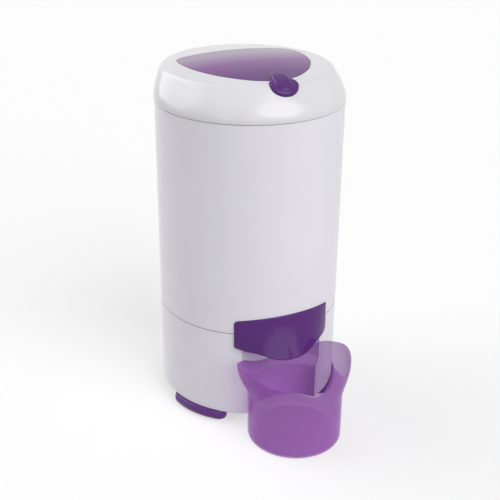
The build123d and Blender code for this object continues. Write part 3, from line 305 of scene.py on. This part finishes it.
# Metals: tool marks come from noise stretched along the way the surface was worked.
# The copper's strands run round the motor.
metalSpan = {"dark": 0.86, "light": 1.1, "gloss": 0.07}
metals = {
    "zincSteel": {"colour": (0.56, 0.55, 0.52),
                  "rough": 0.34, "stretch": (1, 1, 1), "scale": 160.0, "mark": 0.00003},
    "drumSteel": {"colour": (0.66, 0.66, 0.67),
                  "rough": 0.24, "stretch": (1, 1, 40), "scale": 30.0, "mark": 0.00002},
    "castAlloy": {"colour": (0.55, 0.55, 0.57),
                  "rough": 0.46, "stretch": (1, 1, 1), "scale": 900.0, "mark": 0.00012},
    "turnedIron": {"colour": (0.30, 0.29, 0.29),
                   "rough": 0.36, "stretch": (1, 1, 60), "scale": 40.0, "mark": 0.00004},
    "stackedSteel": {"colour": (0.26, 0.26, 0.28),
                     "rough": 0.5, "stretch": (0.1, 0.1, 90), "scale": 20.0, "mark": 0.0002},
    "woundCopper": {"colour": (0.55, 0.20, 0.07),
                    "rough": 0.3, "stretch": (1, 1, 1), "scale": 900.0, "mark": 0.0004},
}


def makeMetal(name):
    look = metals[name]
    finish = Finish(name)
    where = None
    if name == "woundCopper":
        x, y = finish.axis("X") - housingAxis[0], finish.axis("Y") - housingAxis[1]
        where = finish.node("ShaderNodeCombineXYZ", None, {0: (x * x + y * y) ** 0.5, 2: finish.axis("Z")})
    marks = finish.noise(look["scale"], 3.0, where, look["stretch"])
    dark, light = (shade(look["colour"], metalSpan[name]) for name in ("dark", "light"))
    colour = finish.blend(marks, dark, light)
    rough = look["rough"] - metalSpan["gloss"] + marks * (2 * metalSpan["gloss"])
    return finish.surface({"Base Color": colour, "Metallic": 1.0, "Roughness": rough,
                           "Normal": finish.bump(marks, look["mark"])})


# Rubber and the brake's lining: dull, with a little dust
rubberLook = {
    "dustScale": 25.0,
    "dust": 1.8,
    "rough": 0.68,
    "dustRough": 0.15,
    "skinScale": 900.0,
    "grain": 0.0001,
}
rubbers = {"rubberBlack": (0.018, 0.018, 0.019), "brakeLining": (0.09, 0.06, 0.045)}


def makeRubber(name):
    finish = Finish(name)
    dust = finish.noise(rubberLook["dustScale"], 4.0)
    tone = finish.blend(dust, opaque(rubbers[name]), shade(rubbers[name], rubberLook["dust"]))
    rough = rubberLook["rough"] + dust * rubberLook["dustRough"]
    normal = finish.bump(finish.noise(rubberLook["skinScale"]), rubberLook["grain"])
    return finish.surface({"Base Color": tone, "Roughness": rough, "Normal": normal})


# Which CAD node gets which finish
wear = {
    "housingWhite": ["lower_housing", "upper_housing"],
    # painted light: the niche's liner gets the paler, lit copy of the white plastic
    "nicheLitWhite": ["niche_liner"],
    "lidWhite": ["lid_shell", "lid_hinge", "hinge_bracket"],
    "innerWhite": ["top_collar", "lid_liner"],
    "tubPale": ["catch_tub", "tub_floor", "hub_cap", "balance_ring"],
    "partGrey": ["base_pan", "drain_spout", "rod_clips", "switch_button", "terminal_block"],
    "partBlack": ["cooling_fan", "safety_switch", "cord_gland", "gland_nut"],
    "deepPurple": ["spout_hood", "latch_lever"],
    "footPurple": ["foot_front_left", "foot_front_right", "foot_rear"],
    "inlayTint": ["lid_inlay"],
    "cupLilac": ["water_cup"],
    "zincSteel": ["housing_screws", "foot_screws", "lid_screws", "switch_screws", "buffer_bolts",
                  "latch_catch", "motor_carrier", "hub_nut", "hinge_pin", "latch_pin", "brake_rod",
                  "brake_lever", "brake_bracket", "brake_pin", "capacitor_strap", "bearing_lower",
                  "bearing_upper", "drum_shaft"],
    "drumSteel": ["drum_shell"],
    "castAlloy": ["motor_casing", "motor_bell", "drum_hub", "capacitor"],
    "turnedIron": ["brake_drum"],
    "stackedSteel": ["stator_core", "rotor_core"],
    "woundCopper": ["stator_windings"],
    "rubberBlack": ["tub_gasket", "lid_gasket", "motor_buffers", "shaft_bellows"],
    "brakeLining": ["brake_pad"],
}


def dress():
    finishes = {name: makePlastic(name) for name in plastics}
    finishes.update({name: makeMetal(name) for name in metals})
    finishes["inlayTint"] = makeInlayFinish()
    finishes["cupLilac"] = makeCupFinish()
    finishes.update({name: makeRubber(name) for name in rubbers})
    for name, nodes in wear.items():
        for node in nodes:
            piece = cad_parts[node]
            piece.data.materials.clear()
            piece.data.materials.append(finishes[name])
    print("finishes:", len(finishes))
    return finishes


# Formed pieces that stand for plain nodes. Their dictionaries give millimetres, and a profile's
# points are radius and height.
joinWithin = 0.00001  # metres


def turned(shape, profile, centre, steps):
    x, y = centre
    ring = [shape.verts.new((x + radius / 1000, y, height / 1000)) for radius, height in profile]
    loop = [shape.edges.new((ring[i - 1], ring[i])) for i in range(len(ring))]
    bmesh.ops.spin(shape, geom=ring + loop, cent=(*centre, 0.0), axis=(0, 0, 1),
                   angle=2 * math.pi, steps=steps, use_merge=True, use_duplicate=False)


def softened(shape, width, segments):
    bmesh.ops.remove_doubles(shape, verts=shape.verts, dist=joinWithin)
    bmesh.ops.recalc_face_normals(shape, faces=shape.faces)
    sharp = [edge for edge in shape.edges if edge.is_manifold and edge.calc_face_angle() > math.radians(25)]
    bmesh.ops.bevel(shape, geom=sharp, offset=width / 1000, segments=segments,
                    affect="EDGES", profile=0.5, material=-1)


def finished(name, shape, finish, body, node):
    mesh = bpy.data.meshes.new(name)
    for face in shape.faces:
        face.smooth = True
    shape.to_mesh(mesh)
    shape.free()
    mesh.materials.append(finish)
    piece = bpy.data.objects.new(name, mesh)
    scene.collection.objects.link(piece)
    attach(piece, body)
    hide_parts(node)
    print(name + ":", len(mesh.polygons), "faces")
    return piece


# Rubber mounts under the motor's carrier: a waisted block with a hole for its bolt
mount = {
    "places": ((90.93, -52.5), (0.0, 105.0), (-90.93, -52.5)),
    "profile": ((3.4, 88), (11.9, 88), (11.9, 91), (9.6, 93.4), (9.0, 95.5),
                (9.6, 97.6), (11.9, 100), (11.9, 103), (3.4, 103)),
    "steps": 40,
    "edge": 0.6,
    "keep": 0.8,
}


def makeMounts():
    shape = bmesh.new()
    for x, y in mount["places"]:
        turned(shape, mount["profile"], (housingAxis[0] + x / 1000, housingAxis[1] + y / 1000), mount["steps"])
    softened(shape, mount["edge"], 2)
    piece = finished("rubberMounts", shape, finishes["rubberBlack"], "housing", "motor_buffers")
    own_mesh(piece)


# Folded bellows between the tub's neck and the bearing boss
bellows = {
    "cuffRadius": 39.85,
    "cuffTop": 238.0,
    "cuffLow": 227.0,
    "bossRadius": 26.65,
    "bossTop": 204.0,
    "bossLow": 191.15,
    "wall": 2.2,
    "folds": 4,
    "depth": 0.9,
    "steps": 96,
    "edge": 0.5,
    "keep": 0.93,
}


def makeBellows():
    look = bellows
    count = 2 * look["folds"]
    outer = [(look["cuffRadius"], look["cuffTop"])]
    for i in range(count + 1):
        share = i / count
        swell = 0.0 if i in (0, count) else look["depth"] * (1 if i % 2 else -1)
        outer.append((look["cuffRadius"] + share * (look["bossRadius"] - look["cuffRadius"]) + swell,
                      look["cuffLow"] + share * (look["bossTop"] - look["cuffLow"])))
    outer.append((look["bossRadius"], look["bossLow"]))
    inner = [(radius - look["wall"], height) for radius, height in reversed(outer)]
    shape = bmesh.new()
    turned(shape, outer + inner, housingAxis, look["steps"])
    softened(shape, look["edge"], 2)
    piece = finished("foldedBellows", shape, finishes["rubberBlack"], "housing", "shaft_bellows")
    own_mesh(piece)


# Motor windings: the coil heads bulge in turn all the way round both ends of the core.
# The pinch is the share by which a coil head is slimmer where it meets the next.
windings = {
    "inner": 43.8,
    "outer": 61.8,
    "lows": (113.7, 169.7),
    "height": 10.6,
    "corner": 3.0,
    "coils": 24,
    "pinch": 0.16,
    "steps": 192,
    "edge": 0.8,
}


def makeWindings():
    look = windings
    shape = bmesh.new()
    for low in look["lows"]:
        high = low + look["height"]
        inner, outer, corner = look["inner"], look["outer"], look["corner"]
        profile = ((inner + corner, low), (outer - corner, low), (outer, low + corner),
                   (outer, high - corner), (outer - corner, high), (inner + corner, high),
                   (inner, high - corner), (inner, low + corner))
        turned(shape, profile, housingAxis, look["steps"])
    softened(shape, look["edge"], 1)
    middle = (look["inner"] + look["outer"]) / 2000
    levels = [(low + look["height"] / 2) / 1000 for low in look["lows"]]
    for vert in shape.verts:
        x, y = vert.co.x - housingAxis[0], vert.co.y - housingAxis[1]
        level = min(levels, key=lambda height: abs(height - vert.co.z))
        keep = 1 - look["pinch"] * (1 - abs(math.sin(look["coils"] / 2 * math.atan2(y, x))))
        radius = middle + (math.hypot(x, y) - middle) * keep
        turn = radius / math.hypot(x, y)
        vert.co = (housingAxis[0] + x * turn, housingAxis[1] + y * turn, level + (vert.co.z - level) * keep)
    finished("coilWindings", shape, finishes["woundCopper"], "motor_unit", "stator_windings")


# Feet: the CAD foot's mesh with a fuller side that tucks in below. A foot's outer side is an arc
# whose centre lies out from the housing's axis, and the fullness grows from the start outwards.
feet = {
    "headings": {"foot_front_left": -60.0, "foot_front_right": 60.0, "foot_rear": 180.0},
    "levels": (1.5, 3.5, 6.0, 8.5, 11.0, 13.5, 16.0, 18.5, 20.5),
    "top": 22.0,
    "centre": 35.5,
    "radius": 142.0,
    "start": 118.0,
    "swell": 2.8,
    "tuck": 4.0,
    "crease": 35.0,
}


def makeFoot(node, heading):
    look = feet
    turn = math.radians(heading)
    middle = Vector((housingAxis[0] + math.sin(turn) * look["centre"] / 1000,
                     housingAxis[1] - math.cos(turn) * look["centre"] / 1000))
    shape = bmesh.new()
    shape.from_mesh(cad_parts[node].data)
    bmesh.ops.remove_doubles(shape, verts=shape.verts, dist=joinWithin)
    for level in look["levels"]:
        bmesh.ops.bisect_plane(shape, geom=shape.verts[:] + shape.edges[:] + shape.faces[:],
                               plane_co=(0, 0, level / 1000), plane_no=(0, 0, 1))
    for vert in shape.verts:
        away = vert.co.xy - middle
        reach = away.length * 1000
        if reach > look["start"]:
            share = vert.co.z * 1000 / look["top"]
            push = look["swell"] * math.sin(math.pi * share) - look["tuck"] * (1 - share) ** 3
            push *= ((reach - look["start"]) / (look["radius"] - look["start"])) ** 2
            vert.co.xy = middle + away * (1 + push / reach)
    for edge in shape.edges:
        edge.smooth = edge.is_manifold and edge.calc_face_angle() < math.radians(look["crease"])
    first, *others = node.split("_")
    name = first + "".join(word.capitalize() for word in others)
    finished(name, shape, finishes["footPurple"], "housing", node)


# Studio: a white floor that runs to the picture's edges, wide far lamps and a pale surround.
# A lamp's heading is where its light comes from, counted from the front towards +X.
studio = {
    "seenBy": ("Is Camera Ray", "Is Glossy Ray", "Is Transmission Ray"),
    "floorSize": 24.0,
    "floorDrop": 0.0003,
    "floorColour": (0.42, 0.42, 0.42),
    "floorGlow": 0.55,
    "surround": 0.24,
    "suns": {
        "lampKey": {"heading": 18, "height": 38, "width": 50, "strength": 1.95},
        "lampLow": {"heading": 5, "height": 7, "width": 60, "strength": 0.9},
        "lampBack": {"heading": -133, "height": 25, "width": 70, "strength": 2.2},
        "lampTop": {"heading": -30, "height": 82, "width": 70, "strength": 0.12},
    },
    "windows": {
        "windowLeft": {"place": (-1.5, -1.1, 1.0), "aim": (0, 0, 0.6), "size": (0.3, 0.7), "power": 1.3},
    },
}


def makeFloor():
    mesh = bpy.data.meshes.new("floor")
    shape = bmesh.new()
    bmesh.ops.create_grid(shape, x_segments=1, y_segments=1, size=studio["floorSize"] / 2)
    bmesh.ops.translate(shape, verts=shape.verts, vec=(0, 0, -studio["floorDrop"]))
    shape.to_mesh(mesh)
    shape.free()
    floor = bpy.data.objects.new("floor", mesh)
    scene.collection.objects.link(floor)
    finish = Finish("studioFloor")
    body = finish.node("ShaderNodeBsdfDiffuse", None, {"Color": opaque(studio["floorColour"])})
    glow = finish.node("ShaderNodeEmission", None, {"Strength": finish.seen() * studio["floorGlow"]})
    finish.show(finish.node("ShaderNodeAddShader", None, {0: body, 1: glow}))
    mesh.materials.append(finish.material)


def placeLight(name, data, place, aim):
    light = bpy.data.objects.new(name, data)
    light.matrix_world = Matrix.Translation(place) @ aim.to_track_quat("-Z", "Y").to_matrix().to_4x4()
    scene.collection.objects.link(light)
    return light


def makeLight():
    world = bpy.data.worlds.new("surround")
    scene.world = world
    world.use_nodes = True
    around = Nodes(world.node_tree, "ShaderNodeOutputWorld")
    white = opaque((1, 1, 1))
    lit = around.node("ShaderNodeBackground", None, {"Color": white, "Strength": studio["surround"]})
    shown = around.node("ShaderNodeBackground", None, {"Color": white})
    around.show(around.node("ShaderNodeMixShader", None, {0: around.seen(), 1: lit, 2: shown}))
    for name, lamp in studio["suns"].items():
        data = bpy.data.lights.new(name, "SUN")
        data.energy = lamp["strength"]
        data.angle = math.radians(lamp["width"])
        heading, height = math.radians(lamp["heading"]), math.radians(lamp["height"])
        level = math.cos(height)
        source = Vector((level * math.sin(heading), -level * math.cos(heading), math.sin(height)))
        placeLight(name, data, Vector(), -source)
    for name, lamp in studio["windows"].items():
        data = bpy.data.lights.new(name, "AREA")
        data.shape = "RECTANGLE"
        data.size, data.size_y = lamp["size"]
        data.energy = lamp["power"]
        light = placeLight(name, data, Vector(lamp["place"]), Vector(lamp["aim"]) - Vector(lamp["place"]))
        light.visible_diffuse = False  # only a gloss
    print("studio: floor, surround and", len(studio["suns"]) + len(studio["windows"]), "lamps")


makeCamera()
finishes = dress()
makeMounts()
makeBellows()
makeWindings()
for node, heading in feet["headings"].items():
    makeFoot(node, heading)
makeFloor()
makeLight()
